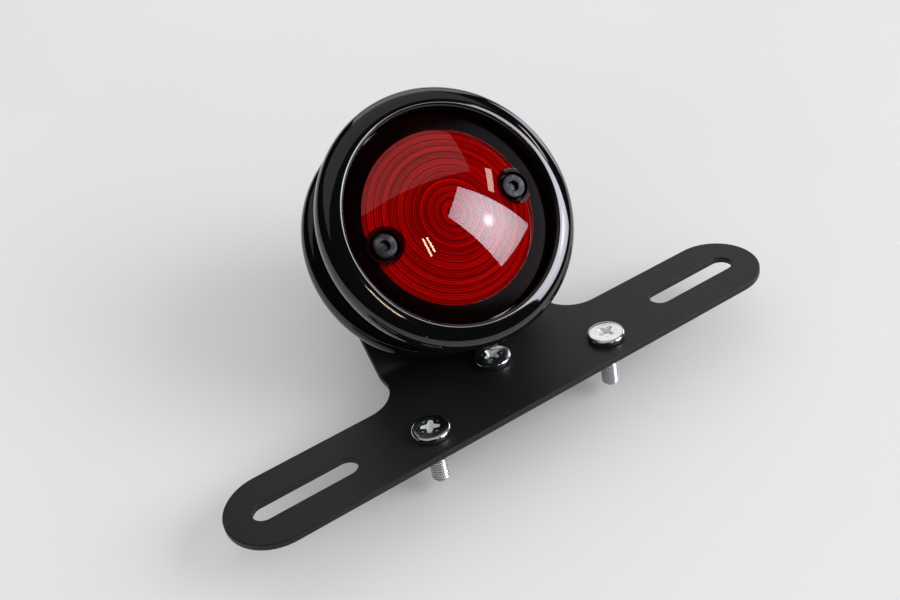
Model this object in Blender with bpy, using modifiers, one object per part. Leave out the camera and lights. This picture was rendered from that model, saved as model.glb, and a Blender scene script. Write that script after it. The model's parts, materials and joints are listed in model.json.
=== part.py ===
"""Round motorcycle tail light on a folded number-plate bracket.

Metres, +Z up.  The light lies as it does on a bench: it leans back on the tip of the bracket's
centre screw and on the ends of the two lower mounting bolts.  +X runs along the bracket's bar and
the lens looks towards -Y and up.  The origin is the middle of the underside of the whole light.

Two empties carry the parts.  bracket_frame has its origin in the middle of the bar's front face,
X along the bar and Z out of that face.  lamp_frame has its origin on the tongue's front face where
the lamp's axis meets it, and Z along the lamp's axis, out through the lens.
"""

import math

import bmesh
import bpy
from mathutils import Matrix, Vector

GAP = 0.0003                      # space kept between parts that touch
RING_STEPS = 48                   # facets round the large turned parts
SMALL_STEPS = 20                  # facets round screws and other small turned parts
MERGE = 0.00001

# Bracket: 2.3 mm steel, a bar with a tongue folded up behind the lamp
SHEET = 0.0023
BAR_HALF_WIDTH = 0.0159
BAR_END_X = 0.0878                # centre of each rounded end
SLOT_X = 0.0771
SLOT_HALF_RUN = 0.0140            # between the centres of a slot's round ends
SLOT_RADIUS = 0.0039
TONGUE_HALF_WIDTH = 0.0333
TONGUE_FILLET = 0.0122
FOLD_Y = 0.0306                   # where the two front faces would meet
FOLD_RADIUS = 0.0025
FOLD_ANGLE = math.radians(51.8)
AXIS_UP_TONGUE = 0.0361           # from the fold line to the lamp's axis, along the tongue

# Bracket screws: M6 pan heads with a cross recess
SCREW_PLACES = {"left": (-0.0349, -0.0050), "right": (0.0349, -0.0050), "centre": (0.0, 0.0119)}
SCREW_HEAD_RADIUS = 0.0063
SCREW_HEAD_HEIGHT = 0.0023
SCREW_LENGTH = 0.0190
M6_RADIUS = 0.0030

# Mounting bolts that hold the lamp to the tongue
BOLT_PLACES = {"left": (-0.017, -0.022), "right": (0.017, -0.022), "top": (0.0, 0.027)}
BOLT_LENGTH = 0.0300
BOLT_HEAD_RADIUS = 0.0050
BOLT_HEAD_HEIGHT = 0.0026
WASHER_RADIUS = 0.0060
WASHER_THICKNESS = 0.0012
NUT_RADIUS = 0.00577              # across the corners of a 10 mm nut
NUT_HEIGHT = 0.0050

# Lamp, as radii and heights above the tongue's front face
PAD_THICKNESS = 0.0013
FOOT_RADIUS = 0.0310
HOUSING_BACK = GAP + PAD_THICKNESS + GAP
HOUSING_FLOOR = HOUSING_BACK + 0.0020
NECK_RADIUS = 0.0360
CUP_BORE = 0.0337
REAR_BEAD_RADIUS = 0.0379         # middle of the rounded section
REAR_BEAD_SECTION = 0.0044
REAR_BEAD_HEIGHT = 0.01006
PART_LINE = 0.0222                # joint between housing and front ring
FRONT_BEAD_RADIUS = 0.03645
FRONT_BEAD_SECTION = 0.00684
FRONT_BEAD_HEIGHT = 0.0349
SPIGOT_DEPTH = 0.0026
RING_BORE = 0.0314
LENS_SEAT_RADIUS = 0.0353
LENS_SEAT_HEIGHT = 0.0330
INNER_LIP = FRONT_BEAD_RADIUS - LENS_SEAT_RADIUS
FACE_CROWN = 0.0100
FACE_TURN = 18

LENS_RADIUS = LENS_SEAT_RADIUS - GAP
GASKET_THICKNESS = 0.0007
LENS_BACK = LENS_SEAT_HEIGHT + GAP + GASKET_THICKNESS + GAP
LENS_FLANGE = 0.0028
DOME_RADIUS = 0.0287
DOME_RISE = 0.0054
LENS_WALL = 0.0025
LENS_BOSS_RADIUS = 0.0061
LENS_SCREW_X = 0.0244
LENS_SCREW_SEAT = 0.0364
LENS_SCREW_HEAD = 0.00425
LENS_SCREW_HEAD_HEIGHT = 0.0022
LENS_SCREW_LENGTH = 0.0200
M5_RADIUS = 0.0025
POST_RADIUS = 0.0040
POST_TOP = 0.0224

REFLECTOR_RADIUS = 0.0309
REFLECTOR_RIM_HEIGHT = 0.0297
REFLECTOR_FLAT = 0.0025
REFLECTOR_WALL = 0.0008
REFLECTOR_THROAT_HEIGHT = 0.0192

SOCKET_BORE = 0.0080
SOCKET_WALL = 0.0006
SOCKET_TOP = 0.0214
SOCKET_FLANGE_RADIUS = 0.0136
SOCKET_FLANGE = 0.0010
RIVET_Y = 0.0112
RIVET_RADIUS = 0.0013
RIVET_HEAD_RADIUS = 0.0020

BULB_BASE_RADIUS = 0.0075
BULB_BASE_BOTTOM = 0.0099
BULB_BASE_TOP = 0.0230
BULB_CUP_BORE = 0.0069
BULB_CUP_FLOOR = 0.0124
PIN_RADIUS = 0.0010
PIN_REACH = 0.0089
PIN_HEIGHT = 0.0167
GLOBE_RADIUS = 0.0090
GLOBE_HEIGHT = 0.0295
GLOBE_NECK = 0.0064
GLOBE_BOTTOM = 0.0219
GLOBE_WALL = 0.0006
PUSH_TRAVEL = 0.0018              # how far the bulb pushes in
TWIST = math.radians(20)          # how far it then turns
PLUNGER_RADIUS = 0.0076
PLUNGER_BOTTOM = 0.0079
PLUNGER_TOP = 0.0093
CONTACT_X = 0.0026
CONTACT_RADIUS = 0.0012
SPRING_RADIUS = 0.0052
SPRING_WIRE = 0.0003
SPRING_TURNS = 2

GROMMET_Y = -0.0200
GROMMET_HOLE = 0.0040
GROMMET_BORE = 0.0021

PAINT_GLOSS = ("gloss_black_paint", (0.006, 0.006, 0.007), 0.12, 0.0)
PAINT_SATIN = ("satin_black_coat", (0.022, 0.021, 0.021), 0.45, 0.0)
ZINC = ("bright_zinc", (0.62, 0.63, 0.65), 0.25, 1.0)
BLACK_OXIDE = ("black_oxide", (0.030, 0.031, 0.033), 0.35, 1.0)
RED_PLASTIC = ("red_lens", (0.42, 0.004, 0.006), 0.06, 0.0)
RUBBER = ("black_rubber", (0.018, 0.018, 0.018), 0.75, 0.0)
SILVER = ("silvered_reflector", (0.78, 0.78, 0.76), 0.18, 1.0)
BRASS = ("plated_brass", (0.66, 0.55, 0.32), 0.28, 1.0)
PHENOLIC = ("phenolic_board", (0.20, 0.10, 0.045), 0.6, 0.0)
SPRING_STEEL = ("spring_steel", (0.50, 0.50, 0.52), 0.3, 1.0)
CLEAR_GLASS = ("clear_glass", (0.92, 0.95, 0.95), 0.03, 0.0)
TUNGSTEN = ("tungsten", (0.25, 0.25, 0.27), 0.4, 1.0)


# --- scene, collections and materials -----------------------------------------------------------

def empty_the_scene():
    for obj in list(bpy.data.objects):
        bpy.data.objects.remove(obj, do_unlink=True)


def new_collection(name):
    collection = bpy.data.collections.new(name)
    bpy.context.scene.collection.children.link(collection)
    return collection


empty_the_scene()
PARTS = new_collection("tail_light")
CUTTERS = new_collection("cutters")


def new_frame(name, parent=None):
    frame = bpy.data.objects.new(name, None)
    PARTS.objects.link(frame)
    frame.parent = parent
    return frame


def material(finish):
    name, colour, roughness, metallic = finish
    found = bpy.data.materials.get(name)
    if found:
        return found
    made = bpy.data.materials.new(name)
    made.use_nodes = True
    shader = made.node_tree.nodes["Principled BSDF"]
    shader.inputs["Base Color"].default_value = (*colour, 1.0)
    shader.inputs["Roughness"].default_value = roughness
    shader.inputs["Metallic"].default_value = metallic
    return made


def part(name, mesh, frame, finish, place=(0.0, 0.0, 0.0), smooth=True):
    """Links a mesh as a named part of the light, standing in one of the two frames."""
    obj = bpy.data.objects.new(name, mesh)
    PARTS.objects.link(obj)
    obj.parent = frame
    obj.location = place
    mesh.materials.append(material(finish))
    if smooth:
        mesh.shade_smooth()
        mesh.set_sharp_from_angle(angle=math.radians(35))
    return obj


def as_cutter(obj):
    for collection in list(obj.users_collection):
        collection.objects.unlink(obj)
    CUTTERS.objects.link(obj)
    obj.hide_render = True
    obj.display_type = "WIRE"
    return obj


# --- shapes ------------------------------------------------------------------------------------

def arc(centre_r, centre_z, radius, start, end, steps):
    """Points of an arc in a profile, angles in degrees, counted from +r towards +z."""
    angles = [math.radians(start + (end - start) * i / steps) for i in range(steps + 1)]
    return [(centre_r + radius * math.cos(a), centre_z + radius * math.sin(a)) for a in angles]


def turned_mesh(name, profile, steps, closed):
    """A solid of revolution about Z.  The profile runs down its outer side, top to bottom; a ring's
    profile is closed, and a solid one starts and ends on the axis."""
    mesh = bpy.data.meshes.new(name)
    count = len(profile)
    edges = [(i, i + 1) for i in range(count - 1)]
    if closed:
        edges.append((count - 1, 0))
    mesh.from_pydata([(r, 0.0, z) for r, z in profile], edges, [])
    holder = bpy.data.objects.new(name + "_profile", mesh)
    CUTTERS.objects.link(holder)
    screw = holder.modifiers.new("turn", "SCREW")
    screw.axis = "Z"
    screw.angle = math.tau
    screw.steps = steps
    screw.render_steps = steps
    screw.use_merge_vertices = True
    screw.merge_threshold = MERGE
    screw.use_smooth_shade = True
    return baked(holder)


def baked(holder):
    """The evaluated mesh of a helper object, in world space, with its loose seams closed."""
    bpy.context.view_layer.update()
    graph = bpy.context.evaluated_depsgraph_get()
    mesh = bpy.data.meshes.new_from_object(holder.evaluated_get(graph))
    mesh.transform(holder.matrix_world)
    bm = bmesh.new()
    bm.from_mesh(mesh)
    bmesh.ops.remove_doubles(bm, verts=bm.verts, dist=MERGE)
    bmesh.ops.recalc_face_normals(bm, faces=bm.faces)
    bm.to_mesh(mesh)
    bm.free()
    bpy.data.objects.remove(holder, do_unlink=True)
    return mesh


def turned(name, profile, frame, finish, place=(0.0, 0.0, 0.0), steps=RING_STEPS, closed=True):
    return part(name, turned_mesh(name, profile, steps, closed), frame, finish, place)


def cylinder_mesh(name, radius, bottom, top, steps=SMALL_STEPS, top_radius=None):
    bm = bmesh.new()
    bmesh.ops.create_cone(
        bm,
        cap_ends=True,
        segments=steps,
        radius1=radius,
        radius2=radius if top_radius is None else top_radius,
        depth=top - bottom,
        matrix=Matrix.Translation((0.0, 0.0, (top + bottom) / 2)),
    )
    mesh = bpy.data.meshes.new(name)
    bm.to_mesh(mesh)
    bm.free()
    return mesh


def box_mesh(name, size):
    bm = bmesh.new()
    bmesh.ops.create_cube(bm, size=1.0, matrix=Matrix.Diagonal((*size, 1.0)))
    mesh = bpy.data.meshes.new(name)
    bm.to_mesh(mesh)
    bm.free()
    return mesh


def tool(name, mesh, frame, place=(0.0, 0.0, 0.0), turn=(0.0, 0.0, 0.0)):
    """A shape that cuts or joins another part, standing in the same frame as that part."""
    obj = bpy.data.objects.new(name, mesh)
    CUTTERS.objects.link(obj)
    obj.parent = frame
    obj.location = place
    obj.rotation_euler = turn
    return as_cutter(obj)


def combine(target, operation, cutter):
    step = target.modifiers.new(cutter.name, "BOOLEAN")
    step.operation = operation
    step.solver = "EXACT"
    step.object = cutter


def drill(target, name, radius, bottom, top, place=(0.0, 0.0, 0.0), steps=SMALL_STEPS):
    mesh = cylinder_mesh(name, radius, bottom, top, steps)
    combine(target, "DIFFERENCE", tool(name, mesh, target.parent, place))


def wire_mesh(name, points, radius):
    curve = bpy.data.curves.new(name, "CURVE")
    curve.dimensions = "3D"
    curve.bevel_depth = radius
    curve.bevel_resolution = 1
    curve.use_fill_caps = True
    spline = curve.splines.new("POLY")
    spline.points.add(len(points) - 1)
    for target, point in zip(spline.points, points):
        target.co = (*point, 1.0)
    holder = bpy.data.objects.new(name + "_wire", curve)
    CUTTERS.objects.link(holder)
    return baked(holder)


# --- the bracket -------------------------------------------------------------------------------

def circle_points(x, y, radius, start, end, steps):
    return [
        (x + radius * math.cos(a), y + radius * math.sin(a))
        for a in (math.radians(start + (end - start) * i / steps) for i in range(steps + 1))
    ]


def blank_y(up_tongue):
    """Where a point of the tongue lies on the flat blank, before the fold."""
    setback = FOLD_RADIUS * math.tan(FOLD_ANGLE / 2)
    return FOLD_Y - setback + FOLD_RADIUS * FOLD_ANGLE + up_tongue - setback


def blank_outline():
    """Right half of the blank from the bottom middle, then the left half mirrored."""
    tongue_top = blank_y(AXIS_UP_TONGUE)
    fillet_x = TONGUE_HALF_WIDTH + TONGUE_FILLET
    fillet_y = BAR_HALF_WIDTH + TONGUE_FILLET
    half = circle_points(BAR_END_X, 0.0, BAR_HALF_WIDTH, -90, 90, 14)
    half += circle_points(fillet_x, fillet_y, TONGUE_FILLET, 270, 180, 8)
    half += circle_points(0.0, tongue_top, TONGUE_HALF_WIDTH, 0, 90, 14)
    return half + [(-x, y) for x, y in reversed(half[:-1])]


def slot_outline(x):
    right = circle_points(x + SLOT_HALF_RUN, 0.0, SLOT_RADIUS, -90, 90, 8)
    left = circle_points(x - SLOT_HALF_RUN, 0.0, SLOT_RADIUS, 90, 270, 8)
    return right + left


def hole_outline(x, y, radius):
    return circle_points(x, y, radius, 0, 360, 16)[:-1]


def fold(mesh):
    """Bends the blank up about a line along X, with the bar left where it is."""
    setback = FOLD_RADIUS * math.tan(FOLD_ANGLE / 2)
    start = FOLD_Y - setback
    run = FOLD_RADIUS * FOLD_ANGLE
    bm = bmesh.new()
    bm.from_mesh(mesh)
    for i in range(5):
        line = start + run * i / 4
        geometry = bm.verts[:] + bm.edges[:] + bm.faces[:]
        bmesh.ops.bisect_plane(bm, geom=geometry, plane_co=(0, line, 0), plane_no=(0, 1, 0), dist=1e-7)
    for vert in bm.verts:
        beyond = vert.co.y - start
        if beyond <= 1e-8:
            continue
        turn = min(beyond / FOLD_RADIUS, FOLD_ANGLE)
        straight = max(beyond - run, 0.0)
        radius = FOLD_RADIUS - vert.co.z
        vert.co.y = start + radius * math.sin(turn) + straight * math.cos(turn)
        vert.co.z = FOLD_RADIUS - radius * math.cos(turn) + straight * math.sin(turn)
    bmesh.ops.triangulate(bm, faces=bm.faces)
    bm.to_mesh(mesh)
    bm.free()


def make_bracket(frame):
    curve = bpy.data.curves.new("bracket_blank", "CURVE")
    curve.dimensions = "2D"
    curve.fill_mode = "BOTH"
    curve.extrude = SHEET / 2
    outlines = [blank_outline(), slot_outline(-SLOT_X), slot_outline(SLOT_X)]
    outlines += [hole_outline(x, y, M6_RADIUS + GAP) for x, y in SCREW_PLACES.values()]
    middle = blank_y(AXIS_UP_TONGUE)
    outlines += [hole_outline(x, middle + y, M6_RADIUS + GAP) for x, y in BOLT_PLACES.values()]
    outlines.append(hole_outline(0.0, middle + GROMMET_Y, GROMMET_HOLE))
    for points in outlines:
        spline = curve.splines.new("POLY")
        spline.points.add(len(points) - 1)
        spline.use_cyclic_u = True
        for target, (x, y) in zip(spline.points, points):
            target.co = (x, y, 0.0, 1.0)
    holder = bpy.data.objects.new("bracket_blank", curve)
    CUTTERS.objects.link(holder)
    holder.location.z = -SHEET / 2
    mesh = baked(holder)
    fold(mesh)
    return part("bracket", mesh, frame, PAINT_SATIN, smooth=False)


def make_bracket_screw(side, frame):
    x, y = SCREW_PLACES[side]
    dome = arc(0.0, GAP + SCREW_HEAD_HEIGHT - 0.0150, 0.0150, 90, 70, 4)
    rim_z = GAP + 0.0011
    profile = dome + [(SCREW_HEAD_RADIUS, rim_z + 0.0002), (SCREW_HEAD_RADIUS, GAP)]
    tip = -SCREW_LENGTH
    profile += [(M6_RADIUS, GAP), (M6_RADIUS, tip + 0.0006), (M6_RADIUS - 0.0006, tip), (0.0, tip)]
    name = "bracket_screw_" + side
    screw = turned(name, profile, frame, ZINC, (x, y, 0.0), SMALL_STEPS, closed=False)
    top = GAP + SCREW_HEAD_HEIGHT
    for number, turn in enumerate((35, 125)):
        cutter = f"{name}_cross_{number}"
        mesh = box_mesh(cutter, (0.0060, 0.0011, 0.0024))
        blade = tool(cutter, mesh, frame, (x, y, top), (0.0, 0.0, math.radians(turn)))
        combine(screw, "DIFFERENCE", blade)


# --- lamp casings ------------------------------------------------------------------------------

def make_base_pad(frame):
    bottom = GAP
    top = GAP + PAD_THICKNESS
    mesh = cylinder_mesh("base_pad", FOOT_RADIUS, bottom, top, RING_STEPS)
    pad = part("base_pad", mesh, frame, RUBBER)
    drill_back_holes(pad, bottom - 0.001, top + 0.001)


def drill_back_holes(target, bottom, top):
    for side, (x, y) in BOLT_PLACES.items():
        drill(target, f"{target.name}_bolt_hole_{side}", M6_RADIUS + GAP, bottom, top, (x, y, 0.0))
    drill(target, f"{target.name}_wire_hole", GROMMET_HOLE, bottom, top, (0.0, GROMMET_Y, 0.0))


def make_housing(frame):
    wall_top = PART_LINE
    meet = math.degrees(math.acos((NECK_RADIUS - REAR_BEAD_RADIUS) / REAR_BEAD_SECTION))
    profile = [(CUP_BORE, wall_top), (NECK_RADIUS, wall_top)]
    profile += arc(REAR_BEAD_RADIUS, REAR_BEAD_HEIGHT, REAR_BEAD_SECTION, meet, -80, 10)
    profile += [(FOOT_RADIUS + 0.0025, HOUSING_BACK + 0.0030), (FOOT_RADIUS, HOUSING_BACK)]
    profile += [(0.0, HOUSING_BACK), (0.0, HOUSING_FLOOR), (CUP_BORE, HOUSING_FLOOR)]
    bottom_run = profile[:-2]
    top_run = profile[-2:]
    solid = top_run + bottom_run
    housing = turned("housing", solid, frame, PAINT_GLOSS, closed=False)
    for side, x in (("left", -LENS_SCREW_X), ("right", LENS_SCREW_X)):
        post = cylinder_mesh("post_" + side, POST_RADIUS, HOUSING_FLOOR - 0.0010, POST_TOP)
        combine(housing, "UNION", tool("housing_post_" + side, post, frame, (x, 0.0, 0.0)))
        drill(housing, "post_thread_" + side, M5_RADIUS + GAP, 0.0135, POST_TOP + 0.001, (x, 0.0, 0.0))
    drill_back_holes(housing, HOUSING_BACK - 0.001, HOUSING_FLOOR + 0.001)
    for side, y in (("low", -RIVET_Y), ("high", RIVET_Y)):
        name = "rivet_hole_" + side
        hole_top = HOUSING_FLOOR + 0.001
        drill(housing, name, RIVET_RADIUS + GAP, HOUSING_BACK - 0.001, hole_top, (0.0, y, 0.0))


def make_front_ring(frame):
    neck_turn = math.degrees(math.acos((NECK_RADIUS - FRONT_BEAD_RADIUS) / FRONT_BEAD_SECTION))
    crest = FRONT_BEAD_HEIGHT + FRONT_BEAD_SECTION
    lip = arc(FRONT_BEAD_RADIUS, crest - INNER_LIP, INNER_LIP, 180, 90, 4)
    face = math.radians(FACE_TURN)
    side = (FRONT_BEAD_SECTION - FACE_CROWN * math.sin(face)) / (1 - math.sin(face))
    side_r = FRONT_BEAD_RADIUS + (FACE_CROWN - side) * math.sin(face)
    side_z = crest - FACE_CROWN + (FACE_CROWN - side) * math.cos(face)
    bead = arc(FRONT_BEAD_RADIUS, crest - FACE_CROWN, FACE_CROWN, 90, 90 - FACE_TURN, 3)
    bead += arc(side_r, side_z, side, 90 - FACE_TURN, 0, 6)[1:]
    drop = side_z - FRONT_BEAD_HEIGHT + FRONT_BEAD_SECTION
    turns = [math.radians(neck_turn * step / 8) for step in range(1, 9)]
    bead += [(FRONT_BEAD_RADIUS + FRONT_BEAD_SECTION * math.cos(t), side_z - drop * math.sin(t)) for t in turns]
    spigot_bottom = PART_LINE + GAP - SPIGOT_DEPTH
    spigot_radius = CUP_BORE - GAP
    profile = lip + bead[1:]
    profile += [(NECK_RADIUS, PART_LINE + GAP), (spigot_radius, PART_LINE + GAP)]
    profile += [(spigot_radius, spigot_bottom), (RING_BORE, spigot_bottom)]
    profile += [(RING_BORE, LENS_SEAT_HEIGHT), (LENS_SEAT_RADIUS, LENS_SEAT_HEIGHT)]
    turned("front_ring", profile, frame, PAINT_GLOSS)


def make_lens_gasket(frame):
    inner = DOME_RADIUS + GAP
    outer = LENS_SEAT_RADIUS - GAP
    bottom = LENS_SEAT_HEIGHT + GAP
    top = bottom + GASKET_THICKNESS
    profile = [(inner, top), (outer, top), (outer, bottom), (inner, bottom)]
    turned("lens_gasket", profile, frame, RUBBER)


def dome_profile(edge_radius, edge_height, rise, steps):
    """From the middle of a shallow dome out to its edge."""
    sphere = (edge_radius**2 + rise**2) / (2 * rise)
    reach = math.degrees(math.asin(edge_radius / sphere))
    return arc(0.0, edge_height + rise - sphere, sphere, 90, 90 - reach, steps)


def make_lens(frame):
    flange_top = LENS_BACK + LENS_FLANGE
    outer = dome_profile(DOME_RADIUS, flange_top, DOME_RISE, 7)
    outer[0] = (0.0, outer[0][1])
    inner_radius = DOME_RADIUS - LENS_WALL / 2
    inner_rise = flange_top + DOME_RISE - LENS_WALL - LENS_BACK
    inner = dome_profile(inner_radius, LENS_BACK, inner_rise, 5)
    inner[0] = (0.0, inner[0][1])
    profile = outer + [(LENS_RADIUS, flange_top), (LENS_RADIUS, LENS_BACK)] + inner[::-1]
    lens = turned("lens", profile, frame, RED_PLASTIC, closed=False)
    boss_top = LENS_SCREW_SEAT + LENS_SCREW_HEAD_HEIGHT
    for side, x in (("left", -LENS_SCREW_X), ("right", LENS_SCREW_X)):
        boss = cylinder_mesh("lens_boss_" + side, LENS_BOSS_RADIUS, LENS_BACK + 0.0004, boss_top, 24)
        combine(lens, "UNION", tool("lens_boss_" + side, boss, frame, (x, 0.0, 0.0)))
        place = (x, 0.0, 0.0)
        drill(lens, "lens_counterbore_" + side, LENS_SCREW_HEAD + 0.0007, LENS_SCREW_SEAT, 0.0450, place)
        drill(lens, "lens_hole_" + side, M5_RADIUS + GAP, LENS_BACK - 0.002, 0.0450, place)


def make_lens_screw(side, x, frame):
    seat = LENS_SCREW_SEAT + GAP
    top = seat + LENS_SCREW_HEAD_HEIGHT
    corner = 0.0006
    profile = [(0.0, top)]
    profile += arc(LENS_SCREW_HEAD - corner, top - corner, corner, 90, 0, 3)
    profile += [(LENS_SCREW_HEAD, seat), (M5_RADIUS, seat)]
    tip = seat - LENS_SCREW_LENGTH
    profile += [(M5_RADIUS, tip + 0.0004), (M5_RADIUS - 0.0004, tip), (0.0, tip)]
    name = "lens_screw_" + side
    screw = turned(name, profile, frame, BLACK_OXIDE, (x, 0.0, 0.0), SMALL_STEPS, closed=False)
    drill(screw, name + "_socket", 0.00173, top - 0.0016, top + 0.001, (x, 0.0, 0.0), 6)


def make_reflector(frame):
    rim = REFLECTOR_RIM_HEIGHT
    flat = REFLECTOR_RADIUS - REFLECTOR_FLAT
    throat = SOCKET_BORE + SOCKET_WALL + GAP
    low = REFLECTOR_THROAT_HEIGHT
    wall = REFLECTOR_WALL
    profile = [(throat, low + wall), (flat, rim + wall), (REFLECTOR_RADIUS, rim + wall)]
    profile += [(REFLECTOR_RADIUS, rim), (flat, rim), (throat, low)]
    reflector = turned("reflector", profile, frame, SILVER)
    for side, x in (("left", -LENS_SCREW_X), ("right", LENS_SCREW_X)):
        drill(reflector, "reflector_hole_" + side, M5_RADIUS + 0.0006, low, rim + 0.002, (x, 0.0, 0.0))


# --- bulb holder and bulb ----------------------------------------------------------------------

def make_socket(frame):
    bottom = HOUSING_FLOOR + GAP
    outer = SOCKET_BORE + SOCKET_WALL
    profile = [(SOCKET_BORE, SOCKET_TOP), (outer, SOCKET_TOP), (outer, bottom + SOCKET_FLANGE)]
    profile += [(SOCKET_FLANGE_RADIUS, bottom + SOCKET_FLANGE), (SOCKET_FLANGE_RADIUS, bottom)]
    profile += [(SOCKET_BORE, bottom)]
    shell = turned("socket_shell", profile, frame, BRASS)
    clear = 0.0004
    window_low = PIN_HEIGHT - PUSH_TRAVEL - PIN_RADIUS - clear
    window_high = PIN_HEIGHT + PIN_RADIUS + clear
    width = 2 * (PIN_RADIUS + clear) + PIN_REACH * TWIST
    mesh = box_mesh("pin_windows", (0.0240, width, window_high - window_low))
    place = (0.0, 0.0, (window_low + window_high) / 2)
    combine(shell, "DIFFERENCE", tool("pin_windows", mesh, frame, place, (0.0, 0.0, TWIST / 2)))
    for side, y in (("low", -RIVET_Y), ("high", RIVET_Y)):
        drill(shell, "socket_hole_" + side, RIVET_RADIUS + GAP, bottom - 0.001, bottom + 0.002, (0, y, 0))
        make_rivet(side, y, frame)


def make_rivet(side, y, frame):
    seat = HOUSING_FLOOR + GAP + SOCKET_FLANGE + GAP
    profile = arc(0.0, seat, RIVET_HEAD_RADIUS, 90, 0, 5)
    profile = [(r, seat + (z - seat) * 0.55) for r, z in profile]
    profile[0] = (0.0, profile[0][1])
    profile += [(RIVET_RADIUS, seat), (RIVET_RADIUS, HOUSING_BACK + GAP), (0.0, HOUSING_BACK + GAP)]
    turned("socket_rivet_" + side, profile, frame, BRASS, (0.0, y, 0.0), 16, closed=False)


def make_bulb(frame):
    profile = [(BULB_CUP_BORE, BULB_BASE_TOP), (BULB_BASE_RADIUS, BULB_BASE_TOP)]
    profile += [(BULB_BASE_RADIUS, BULB_BASE_BOTTOM), (0.0, BULB_BASE_BOTTOM)]
    inside = [(0.0, BULB_CUP_FLOOR), (BULB_CUP_BORE, BULB_CUP_FLOOR)]
    base = turned("bulb_base", inside + profile, frame, BRASS, steps=32, closed=False)
    for side, sign in (("left", -1), ("right", 1)):
        reach = PIN_REACH - BULB_CUP_BORE - 0.0001
        pin = cylinder_mesh("bulb_pin_" + side, PIN_RADIUS, -reach / 2, reach / 2, 12)
        place = (sign * (PIN_REACH - reach / 2), 0.0, PIN_HEIGHT)
        combine(base, "UNION", tool("bulb_pin_" + side, pin, frame, place, (0.0, math.pi / 2, 0.0)))

    def globe(radius, neck):
        meet = -math.degrees(math.acos(neck / radius))
        return arc(0.0, GLOBE_HEIGHT, radius, 90, meet, 8) + [(neck, GLOBE_BOTTOM)]

    outer = globe(GLOBE_RADIUS, GLOBE_NECK)
    inner = globe(GLOBE_RADIUS - GLOBE_WALL, GLOBE_NECK - GLOBE_WALL)
    outer[0] = (0.0, outer[0][1])
    inner[0] = (0.0, inner[0][1])
    turned("bulb_glass", outer + inner[::-1], frame, CLEAR_GLASS, steps=24, closed=False)

    stem_low = BULB_CUP_FLOOR + GAP
    stem = [(0.0, 0.0262), (0.0021, 0.0262), (0.0021, 0.0180), (0.0042, stem_low), (0.0, stem_low)]
    turned("bulb_stem", stem, frame, CLEAR_GLASS, steps=16, closed=False)

    stem_top = 0.0262 + 0.0006
    for name, y, height in (("filament_stop", -0.0011, 0.0310), ("filament_tail", 0.0011, 0.0290)):
        lean = 4 * y
        points = [(-0.0012, y, stem_top), (-0.0034, lean, height), (0.0, lean, height + 0.0006)]
        points += [(0.0034, lean, height), (0.0012, y, stem_top)]
        part(name, wire_mesh(name, points, 0.0002), frame, TUNGSTEN)


def make_plunger(frame):
    mesh = cylinder_mesh("plunger_disc", PLUNGER_RADIUS, PLUNGER_BOTTOM, PLUNGER_TOP, 32)
    disc = part("plunger_disc", mesh, frame, PHENOLIC)
    contact_top = BULB_BASE_BOTTOM - GAP
    contact_low = PLUNGER_BOTTOM - 0.0015
    for name, x in (("contact_stop", -CONTACT_X), ("contact_tail", CONTACT_X)):
        hole_top = PLUNGER_TOP + 0.001
        drill(disc, name + "_hole", CONTACT_RADIUS + GAP, PLUNGER_BOTTOM - 0.001, hole_top, (x, 0, 0))
        crown = 0.0003
        profile = [(0.0, contact_top), (CONTACT_RADIUS - crown, contact_top)]
        profile += [(CONTACT_RADIUS, contact_top - crown), (CONTACT_RADIUS, contact_low), (0.0, contact_low)]
        turned(name, profile, frame, BRASS, (x, 0.0, 0.0), 16, closed=False)
    low = HOUSING_FLOOR + GAP + SPRING_WIRE
    high = PLUNGER_BOTTOM - GAP - SPRING_WIRE
    steps = 20 * SPRING_TURNS
    coil = []
    for i in range(steps + 1):
        turn = math.tau * SPRING_TURNS * i / steps
        height = low + (high - low) * i / steps
        coil.append((SPRING_RADIUS * math.cos(turn), SPRING_RADIUS * math.sin(turn), height))
    part("contact_spring", wire_mesh("contact_spring", coil, SPRING_WIRE), frame, SPRING_STEEL)


# --- fixings behind the tongue -----------------------------------------------------------------

def make_mounting_bolt(side, frame):
    x, y = BOLT_PLACES[side]
    seat = HOUSING_FLOOR + GAP
    top = seat + BOLT_HEAD_HEIGHT
    corner = 0.0008
    profile = [(0.0, top)] + arc(BOLT_HEAD_RADIUS - corner, top - corner, corner, 90, 0, 3)
    profile += [(BOLT_HEAD_RADIUS, seat), (M6_RADIUS, seat)]
    tip = seat - BOLT_LENGTH
    profile += [(M6_RADIUS, tip + 0.0006), (M6_RADIUS - 0.0006, tip), (0.0, tip)]
    name = "mounting_bolt_" + side
    bolt = turned(name, profile, frame, ZINC, (x, y, 0.0), SMALL_STEPS, closed=False)
    drill(bolt, name + "_socket", 0.0023, top - 0.0016, top + 0.001, (x, y, 0.0), 6)

    hole = M6_RADIUS + GAP
    washer_top = -SHEET - GAP
    washer_low = washer_top - WASHER_THICKNESS
    profile = [(hole, washer_top), (WASHER_RADIUS, washer_top), (WASHER_RADIUS, washer_low)]
    profile += [(hole, washer_low)]
    turned("bolt_washer_" + side, profile, frame, ZINC, (x, y, 0.0), 24)

    nut_top = washer_low - GAP
    mesh = cylinder_mesh("bolt_nut_" + side, NUT_RADIUS, nut_top - NUT_HEIGHT, nut_top, 6)
    nut = part("bolt_nut_" + side, mesh, frame, ZINC, (x, y, 0.0), smooth=False)
    low = nut_top - NUT_HEIGHT - 0.001
    drill(nut, f"bolt_nut_{side}_thread", hole, low, nut_top + 0.001, (x, y, 0.0))


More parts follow.
